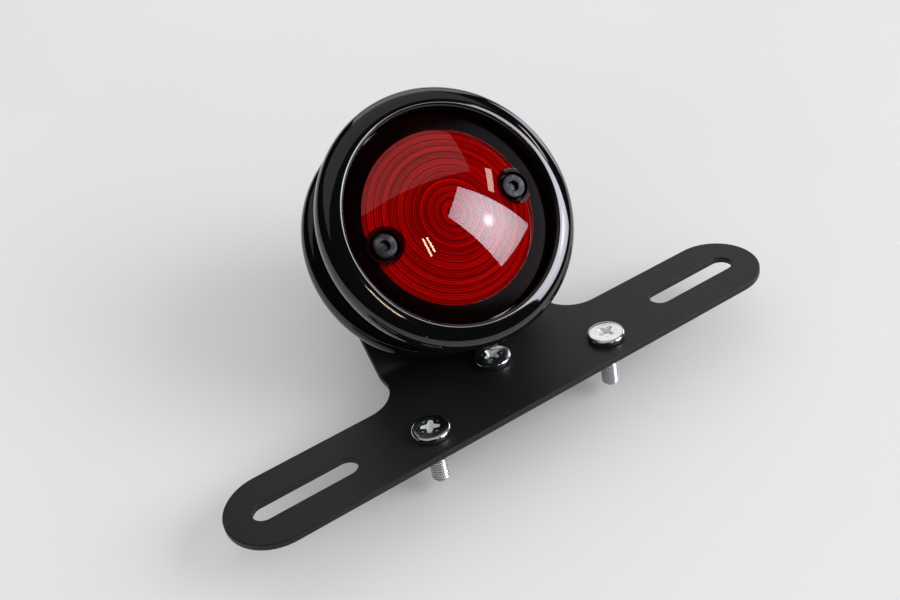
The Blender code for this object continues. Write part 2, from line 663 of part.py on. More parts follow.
def make_wire_grommet(frame):
    inside = HOUSING_FLOOR + GAP
    outside = -SHEET - GAP
    neck = GROMMET_HOLE - GAP
    profile = [(GROMMET_BORE, inside + 0.0011), (0.0050, inside + 0.0011), (0.0050, inside)]
    profile += [(neck, inside), (neck, outside), (0.0050, outside), (0.0050, outside - 0.0014)]
    profile += [(0.0038, outside - 0.0018), (0.0032, outside - 0.0065), (GROMMET_BORE, outside - 0.0065)]
    turned("wire_grommet", profile, frame, RUBBER, (0.0, GROMMET_Y, 0.0), 24)


# --- assembly ----------------------------------------------------------------------------------

def tongue_point(up_tongue, height):
    """Y and Z in the bracket's frame of a point on the tongue, at a height above its front face."""
    y = FOLD_Y + up_tongue * math.cos(FOLD_ANGLE) - height * math.sin(FOLD_ANGLE)
    z = up_tongue * math.sin(FOLD_ANGLE) + height * math.cos(FOLD_ANGLE)
    return y, z


def resting_lean():
    """How far the bracket leans back on the centre screw's tip and the lower bolts' ends."""
    front_y = SCREW_PLACES["centre"][1]
    front_z = -SCREW_LENGTH
    bolt_end = HOUSING_FLOOR + GAP - BOLT_LENGTH
    rear_y, rear_z = tongue_point(AXIS_UP_TONGUE + BOLT_PLACES["left"][1], bolt_end)
    return math.atan2(rear_z - front_z, rear_y - front_y)


def stand_at_origin(root):
    """Moves the whole light so that the middle of its underside is the origin."""
    bpy.context.view_layer.update()
    graph = bpy.context.evaluated_depsgraph_get()
    corners = []
    for obj in PARTS.objects:
        if obj.type == "MESH":
            solid = obj.evaluated_get(graph)
            corners += [obj.matrix_world @ v.co for v in solid.data.vertices]
    low = Vector([min(c[i] for c in corners) for i in range(3)])
    high = Vector([max(c[i] for c in corners) for i in range(3)])
    root.location = (-(low.x + high.x) / 2, -(low.y + high.y) / 2, -low.z)


def build():
    bracket_frame = new_frame("bracket_frame")
    lamp_frame = new_frame("lamp_frame", bracket_frame)
    make_bracket(bracket_frame)
    for side in SCREW_PLACES:
        make_bracket_screw(side, bracket_frame)
    make_base_pad(lamp_frame)
    make_housing(lamp_frame)
    make_front_ring(lamp_frame)
    make_lens_gasket(lamp_frame)
    make_lens(lamp_frame)
    make_lens_screw("left", -LENS_SCREW_X, lamp_frame)
    make_lens_screw("right", LENS_SCREW_X, lamp_frame)
    make_reflector(lamp_frame)
    make_socket(lamp_frame)
    make_plunger(lamp_frame)
    make_bulb(lamp_frame)
    for side in BOLT_PLACES:
        make_mounting_bolt(side, lamp_frame)
    make_wire_grommet(lamp_frame)
    lamp_frame.location = (0.0, *tongue_point(AXIS_UP_TONGUE, 0.0))
    lamp_frame.rotation_euler.x = FOLD_ANGLE
    bracket_frame.rotation_euler.x = -resting_lean()
    stand_at_origin(bracket_frame)


build()
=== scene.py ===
"""A round motorcycle tail light on its folded number-plate bracket, finished around its frame."""
import json
import math

import bmesh
import bpy
from mathutils import Matrix, Vector


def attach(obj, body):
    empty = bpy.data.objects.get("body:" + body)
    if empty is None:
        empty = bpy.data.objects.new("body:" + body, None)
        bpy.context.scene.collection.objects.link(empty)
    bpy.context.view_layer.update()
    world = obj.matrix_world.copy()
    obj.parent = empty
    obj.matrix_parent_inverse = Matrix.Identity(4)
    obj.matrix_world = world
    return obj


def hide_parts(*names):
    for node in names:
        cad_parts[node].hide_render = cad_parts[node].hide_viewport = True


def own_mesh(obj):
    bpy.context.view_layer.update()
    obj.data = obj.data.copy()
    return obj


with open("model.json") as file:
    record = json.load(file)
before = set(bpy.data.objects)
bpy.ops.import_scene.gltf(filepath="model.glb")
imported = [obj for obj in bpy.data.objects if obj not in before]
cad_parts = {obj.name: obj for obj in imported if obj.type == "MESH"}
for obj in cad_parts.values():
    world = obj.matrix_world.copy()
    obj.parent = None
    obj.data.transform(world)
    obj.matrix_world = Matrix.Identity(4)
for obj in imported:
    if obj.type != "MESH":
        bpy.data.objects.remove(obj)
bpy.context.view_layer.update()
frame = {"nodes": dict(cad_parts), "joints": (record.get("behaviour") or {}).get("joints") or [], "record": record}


# === The bench and the light on it ===============================================================
# The tail light lies on a pale bench top, in the room's light and soft daylight from the right.
# Gloss mirrors a tall window, a ceiling, a side and a back wall, two warm tubes and a small glint.

scene = bpy.context.scene
scene.view_settings.view_transform = "Standard"
mounts = {mount["name"]: mount for mount in frame["record"]["mounts"]}
twist = next(joint for joint in frame["joints"] if joint["name"] == "bulb_twist")


def standing(place, out):
    """A frame with X along the bracket's bar and Z along out."""
    along = Vector((1.0, 0.0, 0.0))
    out = Vector(out).normalized()
    turn = Matrix((along, out.cross(along), out)).transposed()
    return Matrix.Translation(place) @ turn.to_4x4()


# The bracket's frame stands in the middle of the bar's front face, above the line of its mounts.
# The lamp's frame stands where its axis meets the tongue's front face, below the bulb's pins.
SHEET = 0.0023
MOUNT_DROP = 0.0100
PIN_HEIGHT = 0.0167
LENS_HEIGHT = 0.035
bar_back = mounts["bracket_back_left"]
bar_middle = (Vector(bar_back["pos_m"]) + Vector(mounts["bracket_back_right"]["pos_m"])) / 2
bar_out = -Vector(bar_back["axis"])
on_bracket = standing(bar_middle, bar_out) @ Matrix.Translation((0.0, MOUNT_DROP, SHEET))
on_lamp = standing(twist["pos_m"], twist["axis"]) @ Matrix.Translation((0.0, 0.0, -PIN_HEIGHT))
lens_middle = on_lamp @ Vector((0.0, 0.0, LENS_HEIGHT))

camera_data = bpy.data.cameras.new("bench_view")
camera_data.lens = 44.55
camera_data.sensor_width = 36.0
camera_data.clip_start = 0.01
camera = bpy.data.objects.new("bench_view", camera_data)
camera_place = Matrix.Translation((-0.1396, -0.2509, 0.2271))
view_right = Vector((0.8334, -0.5284, -0.1624))
view_up = Vector((0.4160, 0.4061, 0.8137))
view_back = Vector((-0.3640, -0.7457, 0.5582))
view_turn = Matrix((view_right, view_up, view_back)).transposed().to_4x4()
camera.matrix_world = on_bracket @ camera_place @ view_turn
scene.collection.objects.link(camera)
scene.camera = camera


def way(azimuth, elevation):
    """A direction from the lens.  Azimuth runs from the front towards the right end."""
    turn = math.radians(azimuth)
    lift = math.radians(elevation)
    level = math.cos(lift)
    return Vector((math.sin(turn) * level, -math.cos(turn) * level, math.sin(lift)))


def flat_light(name, size, radiance, colour, mirrored=True):
    """A light that looks down.  It is either mirrored in gloss, or it lights what is matt."""
    light = bpy.data.lights.new(name, "AREA")
    light.shape = "RECTANGLE"
    light.size, light.size_y = size
    light.energy = radiance * math.pi * size[0] * size[1]
    light.color = colour
    holder = bpy.data.objects.new(name, light)
    holder.visible_diffuse = not mirrored
    holder.visible_glossy = mirrored
    holder.visible_transmission = False
    scene.collection.objects.link(holder)
    return holder


def panel(name, azimuth, elevation, distance, *look, mirrored=True):
    """A flat light that faces the lens from this bearing and distance."""
    toward = way(azimuth, elevation)
    holder = flat_light(name, *look, mirrored=mirrored)
    holder.location = lens_middle + distance * toward
    holder.rotation_euler = toward.to_track_quat("Z", "Y").to_euler()


panel("daylight", 52.0, 38.0, 4.00, (2.30, 2.30), 3.9, (0.96, 0.98, 1.0), mirrored=False)
panel("tube_left", 2.9, 49.8, 1.50, (0.026, 0.26), 26.0, (1.0, 0.78, 0.52))
panel("tube_right", 6.6, 50.0, 1.50, (0.026, 0.22), 26.0, (1.0, 0.78, 0.52))
panel("lamp_glint", 76.0, 37.5, 1.50, (0.30, 0.085), 9.0, (1.0, 0.80, 0.68))
panel("side_wall", 104.0, 8.0, 2.00, (0.85, 0.95), 3.6, (0.80, 0.88, 1.0))
panel("back_wall", 150.0, 25.0, 2.00, (1.90, 1.10), 1.15, (1.0, 0.985, 0.955))
ceiling = flat_light("ceiling", (2.90, 2.10), 0.45, (1.0, 0.985, 0.97))
ceiling.location = (-0.05, 0.78, 1.60)


class Wire:
    """A socket of a node tree.  A sum, difference or product of wires adds its own Math nodes."""

    def __init__(self, tree, socket):
        self.tree = tree
        self.socket = socket

    def node(self, kind, settings, sockets, output=0):
        """Adds any other node: its settings first, then the values or wires of its sockets."""
        added = self.tree.nodes.new(kind)
        for name, value in settings.items():
            setattr(added, name, value)
        for name, value in sockets.items():
            wires = value if isinstance(value, list) else [value]
            for wire in wires:
                if isinstance(wire, Wire):
                    self.tree.links.new(wire.socket, added.inputs[name])
                else:
                    added.inputs[name].default_value = wire
        return Wire(self.tree, added.outputs[output])

    def math(self, operation, *values):
        return self.node("ShaderNodeMath", {"operation": operation}, dict(enumerate(values)))

    def vector(self, operation, other=None, output="Vector"):
        sockets = {0: self} if other is None else {0: self, 1: other}
        return self.node("ShaderNodeVectorMath", {"operation": operation}, sockets, output)

    def __add__(self, other):
        return self.math("ADD", self, other)

    def __sub__(self, other):
        return self.math("SUBTRACT", self, other)

    def __rsub__(self, other):
        return self.math("SUBTRACT", other, self)

    def __mul__(self, other):
        return self.math("MULTIPLY", self, other)

    def __truediv__(self, other):
        return self.math("DIVIDE", self, other)

    __radd__ = __add__
    __rmul__ = __mul__

    def between(self, low, high):
        """0 below low, 1 above high, and smooth between them."""
        sockets = {"Value": self, "From Min": low, "From Max": high}
        return self.node("ShaderNodeMapRange", {"interpolation_type": "SMOOTHSTEP"}, sockets)

    def noise(self, scale, detail=2.0):
        sockets = {"Vector": self, "Scale": scale, "Detail": detail}
        return self.node("ShaderNodeTexNoise", {}, sockets)

    def specks(self, scale, share):
        """Sparse round specks: 1 in the middle of one cell in many, 0 elsewhere."""
        core, rim, patch = 0.05, 0.16, 0.21
        distance = self.node("ShaderNodeTexVoronoi", {}, {"Vector": self, "Scale": scale})
        picked = self.noise(scale * patch, 0.0).between(share, share + 0.02)
        return (1 - distance.between(core, rim)) * picked

    def colours(self, first, second):
        """The first colour or wire where this wire is 0, and the second where it is 1."""
        ends = [end if isinstance(end, Wire) else (*end, 1.0) for end in (first, second)]
        sockets = {0: self, 6: ends[0], 7: ends[1]}
        return self.node("ShaderNodeMix", {"data_type": "RGBA"}, sockets, 2)

    def relief(self, strength, depth):
        """A Bump node: depth is how high the relief stands, in metres."""
        sockets = {"Strength": strength, "Distance": depth, "Height": self}
        return self.node("ShaderNodeBump", {}, sockets)


def coat(name, sockets, vary):
    """A finish: sockets are the same all over, and vary(point) gives what changes with place."""
    material = bpy.data.materials.new(name)
    material.use_nodes = True
    tree = material.node_tree
    shader = tree.nodes["Principled BSDF"]
    for label, value in sockets.items():
        shader.inputs[label].default_value = value
    coordinates = tree.nodes.new("ShaderNodeTexCoord")
    for label, wire in vary(Wire(tree, coordinates.outputs["Object"])).items():
        tree.links.new(wire.socket, shader.inputs[label])
    return material


def bench_paint(point):
    mottle = point.noise(3.0, 3.0)
    return {
        "Base Color": mottle.between(0.3, 0.7).colours((0.76, 0.745, 0.735), (0.80, 0.785, 0.775)),
        "Roughness": 0.5 + 0.15 * mottle,
        "Normal": point.noise(900.0, 3.0).relief(0.08, 0.00005),
    }


def sky_glow(name, middle, reach, rim, core, colour):
    """A finish that glows: brightest at its middle, and fading to its rim."""
    material = bpy.data.materials.new(name)
    material.use_nodes = True
    tree = material.node_tree
    shader = tree.nodes["Principled BSDF"]
    shader.inputs["Base Color"].default_value = (0.0, 0.0, 0.0, 1.0)
    coordinates = tree.nodes.new("ShaderNodeTexCoord")
    point = Wire(tree, coordinates.outputs["Object"])
    sun_reach, sun_level = 0.13 * reach, 1.4 * core
    away = point.vector("DISTANCE", middle, "Value")
    wide = 1 - away.between(0.0, reach)
    hot = 1 - away.between(0.0, sun_reach)
    level = rim + (core - rim) * wide + sun_level * hot
    shade = level.node("ShaderNodeVectorMath", {"operation": "SCALE"}, {0: colour, "Scale": level})
    tree.links.new(shade.socket, shader.inputs["Emission Color"])
    shader.inputs["Emission Strength"].default_value = 1.0
    return material


def glowing_window():
    """A pane with corners of its own, seen only where gloss mirrors it."""
    distance = 2.0
    bearings = ((64.0, 54.5), (64.2, 14.7), (36.8, 18.2), (34.2, 54.5))
    corners = [lens_middle + distance * way(*bearing) for bearing in bearings]
    mesh = bpy.data.meshes.new("window")
    mesh.from_pydata(corners, [], [(0, 1, 2, 3)])
    across = (corners[1] - corners[0]).cross(corners[2] - corners[0])
    centre = way(50.9, 36.0)
    reach = (corners[0] - lens_middle).dot(across) / centre.dot(across)
    middle = lens_middle + centre * reach
    mesh.materials.append(sky_glow("window_glow", middle, 1.10, 4.2, 13.0, (0.88, 0.89, 1.0)))
    pane = bpy.data.objects.new("window", mesh)
    pane.visible_camera = False
    pane.visible_diffuse = False
    pane.visible_transmission = False
    pane.visible_shadow = False
    scene.collection.objects.link(pane)


glowing_window()
bench_mesh = bpy.data.meshes.new("bench_top")
reach = 3.0
corners = [(-reach, -reach, 0.0), (reach, -reach, 0.0), (reach, reach, 0.0), (-reach, reach, 0.0)]
bench_mesh.from_pydata(corners, [], [(0, 1, 2, 3)])
bench_mesh.materials.append(coat("pale_bench_paint", {"Specular IOR Level": 0.1}, bench_paint))
bench = bpy.data.objects.new("bench_top", bench_mesh)
scene.collection.objects.link(bench)

# The room lights only what is matt.  Gloss mirrors the panels and the window in its place.
room = bpy.data.worlds.new("room")
room.use_nodes = True
scene.world = room
room_light = room.node_tree.nodes["Background"]
room_tree = room.node_tree
seen = Wire(room_tree, room_tree.nodes.new("ShaderNodeLightPath").outputs["Is Camera Ray"])
tint = seen.colours((0.815, 0.815, 0.83), (0.70, 0.69, 0.68))
room_tree.links.new(tint.socket, room_light.inputs["Color"])
room.cycles_visibility.glossy = False


# === Bracket =====================================================================================
# One blank of 2.3 mm steel: a bar with a slot at each end, and a round-topped tongue folded up
# behind the lamp.  Its edges are broken before it is powder coated satin black.

FOLD_START = 0.02939
FOLD_RADIUS = 0.0025
FOLD_ANGLE = math.radians(51.8)
FOLD_RUN = FOLD_RADIUS * FOLD_ANGLE
BOLT_PLACES = [(-0.017, -0.022), (0.017, -0.022), (0.0, 0.027)]
SCREW_PLACES = [(-0.0349, -0.0050), (0.0349, -0.0050), (0.0, 0.0119)]
WIRE_PLACE = (0.0, -0.0200)
HOLE_RADIUS = 0.0033
WIRE_HOLE_RADIUS = 0.0040


def arc(x, y, radius, start, end, steps):
    """Points of an arc about (x, y), with its angles in degrees."""
    turns = [math.radians(start + (end - start) * step / steps) for step in range(steps + 1)]
    return [(x + radius * math.cos(turn), y + radius * math.sin(turn)) for turn in turns]


def plain_mesh(holder):
    """The finished mesh of a helper object that carries modifiers or a curve.  The helper goes."""
    bpy.context.view_layer.update()
    graph = bpy.context.evaluated_depsgraph_get()
    mesh = bpy.data.meshes.new_from_object(holder.evaluated_get(graph))
    holder.modifiers.clear()
    bpy.data.objects.remove(holder)
    return mesh


def held(mesh):
    """A helper object for a mesh that is still being made."""
    holder = bpy.data.objects.new(mesh.name + "_blank", mesh)
    scene.collection.objects.link(holder)
    return holder


def fitted(name, mesh, place, finish, body, slot, *nodes):
    """Puts a finished mesh in its place on a body, where it stands for its CAD nodes."""
    mesh.transform(place)
    mesh.materials.clear()
    mesh.materials.append(finish)
    piece = bpy.data.objects.new(name, mesh)
    scene.collection.objects.link(piece)
    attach(piece, body)
    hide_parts(*nodes)
    return piece


def bracket_outlines():
    """The blank's outline and its holes, flat, before the fold."""
    bar, bar_end = 0.0159, 0.0878
    tongue, tongue_run, fillet = 0.0333, 0.0361, 0.0122
    slot_x, slot_run, slot_radius = 0.0771, 0.0140, 0.0039
    setback = FOLD_RADIUS * math.tan(FOLD_ANGLE / 2)
    tongue_top = FOLD_START + FOLD_RUN + tongue_run - setback
    half = arc(bar_end, 0.0, bar, -90, 90, 48)
    half += arc(tongue + fillet, bar + fillet, fillet, 270, 180, 28)
    half += arc(0.0, tongue_top, tongue, 0, 90, 48)
    outlines = [half + [(-x, y) for x, y in reversed(half[:-1])]]
    for x in (-slot_x, slot_x):
        right = arc(x + slot_run, 0.0, slot_radius, -90, 90, 24)
        outlines.append(right + arc(x - slot_run, 0.0, slot_radius, 90, 270, 24))
    outlines += [arc(x, y, HOLE_RADIUS, 0, 360, 40)[:-1] for x, y in SCREW_PLACES]
    outlines += [arc(x, tongue_top + y, HOLE_RADIUS, 0, 360, 40)[:-1] for x, y in BOLT_PLACES]
    outlines.append(arc(0.0, tongue_top + WIRE_PLACE[1], WIRE_HOLE_RADIUS, 0, 360, 40)[:-1])
    return outlines


def bracket_blank(broken_edge):
    curve = bpy.data.curves.new("bracket_blank", "CURVE")
    curve.dimensions = "2D"
    curve.fill_mode = "BOTH"
    curve.extrude = SHEET / 2 - broken_edge
    curve.bevel_depth = broken_edge
    curve.bevel_resolution = 2
    curve.offset = -broken_edge
    for outline in bracket_outlines():
        spline = curve.splines.new("POLY")
        spline.points.add(len(outline) - 1)
        spline.use_cyclic_u = True
        for point, (x, y) in zip(spline.points, outline):
            point.co = (x, y, 0.0, 1.0)
    holder = bpy.data.objects.new("bracket_blank", curve)
    scene.collection.objects.link(holder)
    return plain_mesh(holder)


def fold_up(mesh):
    """Bends the blank about a line along X: the bar stays flat and the tongue turns up."""
    bm = bmesh.new()
    bm.from_mesh(mesh)
    bmesh.ops.translate(bm, verts=bm.verts, vec=(0.0, 0.0, -SHEET / 2))
    weld, near, cuts = 2e-6, 1e-7, 12
    bmesh.ops.remove_doubles(bm, verts=bm.verts, dist=weld)
    for cut in range(cuts + 1):
        line = (0.0, FOLD_START + FOLD_RUN * cut / cuts, 0.0)
        geometry = bm.verts[:] + bm.edges[:] + bm.faces[:]
        bmesh.ops.bisect_plane(bm, geom=geometry, plane_co=line, plane_no=(0, 1, 0), dist=near)
    for vert in bm.verts:
        beyond = vert.co.y - FOLD_START
        if beyond > 0:
            turn = min(beyond / FOLD_RADIUS, FOLD_ANGLE)
            straight = max(beyond - FOLD_RUN, 0.0)
            radius = FOLD_RADIUS - vert.co.z
            vert.co.y = FOLD_START + radius * math.sin(turn) + straight * math.cos(turn)
            vert.co.z = FOLD_RADIUS - radius * math.cos(turn) + straight * math.sin(turn)
    bmesh.ops.recalc_face_normals(bm, faces=bm.faces)
    bm.to_mesh(mesh)
    bm.free()
    mesh.shade_smooth()


def powder_coat(point):
    ripple = point.noise(620.0, 3.0)
    grain = point.noise(2600.0, 2.0)
    cloud = point.noise(28.0, 3.0).between(0.25, 0.75)
    dust = point.specks(420.0, 0.62)
    black = cloud.colours((0.0072, 0.0072, 0.0078), (0.0108, 0.0107, 0.0114))
    return {
        "Base Color": (0.35 * dust).colours(black, (0.10, 0.098, 0.095)),
        "Roughness": 0.36 + 0.08 * cloud + 0.10 * ripple,
        "Normal": (0.7 * ripple + 0.3 * grain).relief(0.30, 0.00005),
    }


bracket_mesh = bracket_blank(broken_edge=0.00035)
fold_up(bracket_mesh)
bracket_holder = held(bracket_mesh)
flatter = bracket_holder.modifiers.new("even_faces", "WEIGHTED_NORMAL")
flatter.weight = 100
satin_black = coat("satin_black_powder_coat", {"IOR": 1.5, "Specular IOR Level": 0.3}, powder_coat)
fitted("folded_bracket", plain_mesh(bracket_holder), on_bracket, satin_black, "root",
       "satin_black_steel", "bracket")


# === Bracket screws ==============================================================================
# Three M6 machine screws with shallow pan heads and a cross recess, in bright zinc plate.  Their
# heads are cold formed, with four small dimples, and their threads are rolled.

HEAD_TOP = 0.0026
PAST = 0.001  # how far a tool stands past what it cuts


def made(bm, name):
    """The mesh of a finished bmesh, which is freed."""
    mesh = bpy.data.meshes.new(name)
    bm.to_mesh(mesh)
    bm.free()
    return mesh


def turned(name, profile, steps, closed=True):
    """A solid of revolution about Z, from (radius, height) points that run down its outer side."""
    bm = bmesh.new()
    rings = []
    for radius, height in profile:
        count = steps if radius > 0 else 1
        turns = [math.tau * step / steps for step in range(count)]
        spots = [(radius * math.cos(turn), radius * math.sin(turn), height) for turn in turns]
        rings.append([bm.verts.new(spot) for spot in spots])
    pairs = list(zip(rings, rings[1:]))
    if closed:
        pairs.append((rings[-1], rings[0]))
    for upper, lower in pairs:
        for step in range(steps):
            following = (step + 1) % steps
            loop = [upper[step % len(upper)], upper[following % len(upper)]]
            loop += [lower[following % len(lower)], lower[step % len(lower)]]
            corners = list(dict.fromkeys(loop))
            if len(corners) > 2:
                bm.faces.new(corners)
    bmesh.ops.recalc_face_normals(bm, faces=bm.faces)
    mesh = made(bm, name)
    soften(mesh)
    return mesh


def soften(mesh, angle=32):
    mesh.shade_smooth()
    mesh.set_sharp_from_angle(angle=math.radians(angle))


def prism(name, radius, bottom, top, steps, place=(0.0, 0.0), low_radius=None):
    """A round or many-sided bar along Z that cuts, or is joined to, another piece."""
    bm = bmesh.new()
    shift = Matrix.Translation((*place, (top + bottom) / 2))
    bmesh.ops.create_cone(bm, cap_ends=True, segments=steps, radius1=low_radius or radius,
                          radius2=radius, depth=top - bottom, matrix=shift)
    return made(bm, name)


def worked(mesh, steps, angle=32):
    """The mesh after a list of (operation, tool mesh) steps, such as drilled holes."""
    holder = held(mesh)
    tools = []
    for operation, shape in steps:
        tool = held(shape)
        tools.append(tool)
        step = holder.modifiers.new(shape.name, "BOOLEAN")
        step.operation = operation
        step.solver = "EXACT"
        step.object = tool
    finished = plain_mesh(holder)
    for tool in tools:
        bpy.data.objects.remove(tool)
    soften(finished, angle)
    return finished


def cross_recess(top):
    """The star that a cross driver leaves: four arms, with hollow webs between, that narrow."""
    tip, tip_side, root, root_side, web = 0.00305, 0.00058, 0.00185, 0.00092, 0.00150
    arm = [(tip, -tip_side, 0), (tip, tip_side, 0), (root, root_side, 0)]
    arm += [(web, 0.0, 45), (root, -root_side, 90)]
    bm = bmesh.new()
    rings = []
    for height, grow in ((top + 0.0006, 1.08), (top - 0.0005, 0.95), (top - 0.0019, 0.50)):
        lift = Vector((0.0, 0.0, height))
        ring = []
        for quarter in range(4):
            for reach, side, further in arm:
                turn = Matrix.Rotation(math.radians(90 * quarter + further), 3, "Z")
                spot = Vector((reach * grow, side * grow ** 0.5, 0.0))
                ring.append(bm.verts.new(turn @ spot + lift))
        rings.append(ring)
    for upper, lower in zip(rings, rings[1:]):
        for step in range(len(upper)):
            following = (step + 1) % len(upper)
            bm.faces.new([upper[step], upper[following], lower[following], lower[step]])
    bm.faces.new(rings[0])
    bm.faces.new(rings[-1][::-1])
    bmesh.ops.recalc_face_normals(bm, faces=bm.faces)
    return made(bm, "cross_recess")


def screw_head():
    radius, seat, top, crown, corner = 0.0063, 0.0003, HEAD_TOP, 0.0420, 0.0008
    corner_drop = 0.0012
    dome = arc(0.0, top - crown, crown, 90, 82.6, 8)
    dome[0] = (0.0, top)
    side = arc(radius - corner, top - corner_drop, corner, 62, -8, 8)
    under = [(radius - 0.0001, seat + 0.0002), (radius - 0.0003, seat), (0.0, seat)]
    profile = dome + side + under
    head = turned("screw_head", profile, 72, closed=False)
    steps = [("DIFFERENCE", cross_recess(top))]
    dimple_reach, dimple_radius, dimple_tip, dimple_depth = 0.0032, 0.00062, 0.00015, 0.00042
    for number in range(4):
        turn = math.pi / 4 + number * math.pi / 2
        place = (dimple_reach * math.cos(turn), dimple_reach * math.sin(turn))
        dimple = prism(f"dimple_{number}", dimple_radius, top - dimple_depth, top + PAST, 14, place,
                       dimple_tip)
        steps.append(("DIFFERENCE", dimple))
    return worked(head, steps, angle=26)


def node_tree(name, sizes):
    """An empty Geometry Nodes tree with named inputs, and a wire from each of them."""
    tree = bpy.data.node_groups.new(name, "GeometryNodeTree")
    tree.interface.new_socket("Geometry", in_out="OUTPUT", socket_type="NodeSocketGeometry")
    kinds = {"Geometry": "Geometry", **sizes, "Finish": "Material"}
    for label, kind in kinds.items():
        tree.interface.new_socket(label, in_out="INPUT", socket_type="NodeSocket" + kind)
    group = tree.nodes.new("NodeGroupInput")
    return tree, {label: Wire(tree, group.outputs[label]) for label in kinds}


def seat_on_points(tree, size, shape):
    """Ends a tree: the shape stands on every point, turned by the point's own turn."""
    kind = {"data_type": "FLOAT"}
    turn = shape.node("GeometryNodeInputNamedAttribute", kind, {"Name": "turn"})
    rotation = shape.node("ShaderNodeCombineXYZ", {}, {"Z": turn})
    sockets = {"Points": size["Geometry"], "Instance": shape, "Rotation": rotation}
    seated = shape.node("GeometryNodeInstanceOnPoints", {}, sockets)
    real = shape.node("GeometryNodeRealizeInstances", {}, {"Geometry": seated})
    done = shape.node("GeometryNodeSetMaterial", {}, {"Geometry": real, "Material": size["Finish"]})
    tree.links.new(done.socket, tree.nodes.new("NodeGroupOutput").inputs[0])


def threaded_tree():
    """A head on a threaded shank, whose thread is a spiral groove that runs out at the tip."""
    tree, size = node_tree("threaded_fixings", {
        "Head": "Object", "Shank Top": "Float", "Shank Radius": "Float", "Shank Length": "Float",
        "Pitch": "Float", "Thread Depth": "Float", "Rows": "Int"})
    length, radius, pitch = size["Shank Length"], size["Shank Radius"], size["Pitch"]
    bar = length.node("GeometryNodeMeshCylinder", {}, {
        "Vertices": 28, "Side Segments": size["Rows"], "Radius": radius, "Depth": length})
    place = length.node("GeometryNodeInputPosition", {}, {})
    x, y, z = [place.node("ShaderNodeSeparateXYZ", {}, {0: place}, axis) for axis in range(3)]
    below = length / 2 - z
    turns = below / pitch + y.math("ARCTAN2", y, x) / math.tau
    phase = turns.math("FRACT", turns)
    swing = phase * 2 - 1
    steepness, root_width, tip_cut = 1.7, 0.3, 1.15
    crest = (swing.math("ABSOLUTE", swing) * steepness - root_width).between(0.0, 1.0)
    near_tip = (1 - (length - below) / pitch).between(0.0, 1.0)
    groove = size["Thread Depth"] * ((1 - crest) + near_tip * tip_cut)
    shrink = 1 - groove / radius
    sockets = {"X": x * shrink, "Y": y * shrink, "Z": size["Shank Top"] - below}
    moved = length.node("ShaderNodeCombineXYZ", {}, sockets)
    cut = length.node("GeometryNodeSetPosition", {}, {"Geometry": bar, "Position": moved})
    side = Wire(tree, bar.socket.node.outputs["Side"])
    smooth = length.node("GeometryNodeSetShadeSmooth", {}, {"Geometry": cut, "Selection": side})
    head = length.node("GeometryNodeObjectInfo", {}, {"Object": size["Head"]}, "Geometry")
    seat_on_points(tree, size, length.node("GeometryNodeJoinGeometry", {}, {0: [smooth, head]}))
    return tree


def on_points(tree, places, turns, settings):
    """The plain mesh that a tree makes at these places.  The helper shapes it reads are removed."""
    points = bpy.data.meshes.new(tree.name)
    points.from_pydata([(x, y, 0.0) for x, y in places], [], [])
    points.attributes.new("turn", "FLOAT", "POINT").data.foreach_set("value", turns)
    holder = held(points)
    modifier = holder.modifiers.new(tree.name, "NODES")
    modifier.node_group = tree
    sockets = [item for item in tree.interface.items_tree if item.in_out == "INPUT"]
    inputs = {item.name: item.identifier for item in sockets}
    for label, value in settings.items():
        modifier[inputs[label]] = value
    mesh = plain_mesh(holder)
    for value in settings.values():
        if isinstance(value, bpy.types.Object):
            bpy.data.objects.remove(value)
    return mesh


BRACKET_OUT = on_bracket.to_3x3() @ Vector((0.0, 0.0, 1.0))


def from_axis(point, origin, axis):
    """How far a point is from an axis."""
    swept = point.vector("SUBTRACT", origin).vector("CROSS_PRODUCT", axis)
    return swept.vector("LENGTH", output="Value")


def sheen_and_thread_masks(point):
    """Two masks: the cold-formed walls of the cross recesses, made pale and matt as a painted reflection, and the
    rolled threads below the heads.
    """
    arm = point.vector("SUBTRACT", on_bracket.translation)
    height = arm.vector("DOT_PRODUCT", BRACKET_OUT, "Value")
    below_top = (HEAD_TOP - height).between(0.00016, 0.00026)
    above_floor = (height - 0.0006).between(0.0, 0.0001)
    middles = [on_bracket @ Vector((x, y, 0.0)) for x, y in SCREW_PLACES]
    radii = [from_axis(point, middle, BRACKET_OUT) for middle in middles]
    inside = sum(1 - radius.between(0.0031, 0.0033) for radius in radii)
    return below_top * above_floor * inside, 1 - height.between(-0.0006, 0.0002)


def zinc_plate(point):
    cloud = point.noise(160.0, 3.0).between(0.3, 0.7)
    grain = point.noise(1900.0, 3.0)
    # The recess walls lose their metal and turn pale, so that the room's matt light brightens them: a painted
    # reflection. Their added roughness is their own.
    recess_painted_sheen, rolled = sheen_and_thread_masks(point)
    plate = cloud.colours((0.66, 0.67, 0.69), (0.74, 0.745, 0.75))
    return {
        "Metallic": 1 - 0.75 * recess_painted_sheen - 0.26 * rolled,
        "Base Color": recess_painted_sheen.colours(plate, (0.74, 0.79, 0.77)),
        "Roughness": 0.13 + 0.07 * cloud + 0.05 * grain + 0.15 * recess_painted_sheen + 0.05 * rolled,
        "Normal": grain.relief(0.15, 0.00002),
    }


threaded = threaded_tree()
bright_zinc = coat("bright_zinc_plate", {"Metallic": 1.0}, zinc_plate)
M6_THREAD = {
    "Shank Radius": 0.00298, "Pitch": 0.0010, "Thread Depth": 0.00052, "Finish": bright_zinc}
SCREW_TURNS = [math.radians(56), math.radians(14), math.radians(10)]
screws_mesh = on_points(threaded, SCREW_PLACES, SCREW_TURNS, {
    "Head": held(screw_head()), "Shank Top": 0.0005, "Shank Length": 0.0195, "Rows": 156,
    **M6_THREAD})
fitted("bracket_screws", screws_mesh, on_bracket, bright_zinc, "root", "bright_zinc",
       "bracket_screw_left", "bracket_screw_right", "bracket_screw_centre")


# === Base pad ====================================================================================
# A thin disc of black rubber, punched for the bolts and the wire, which keeps water out between
# the casing and the tongue.

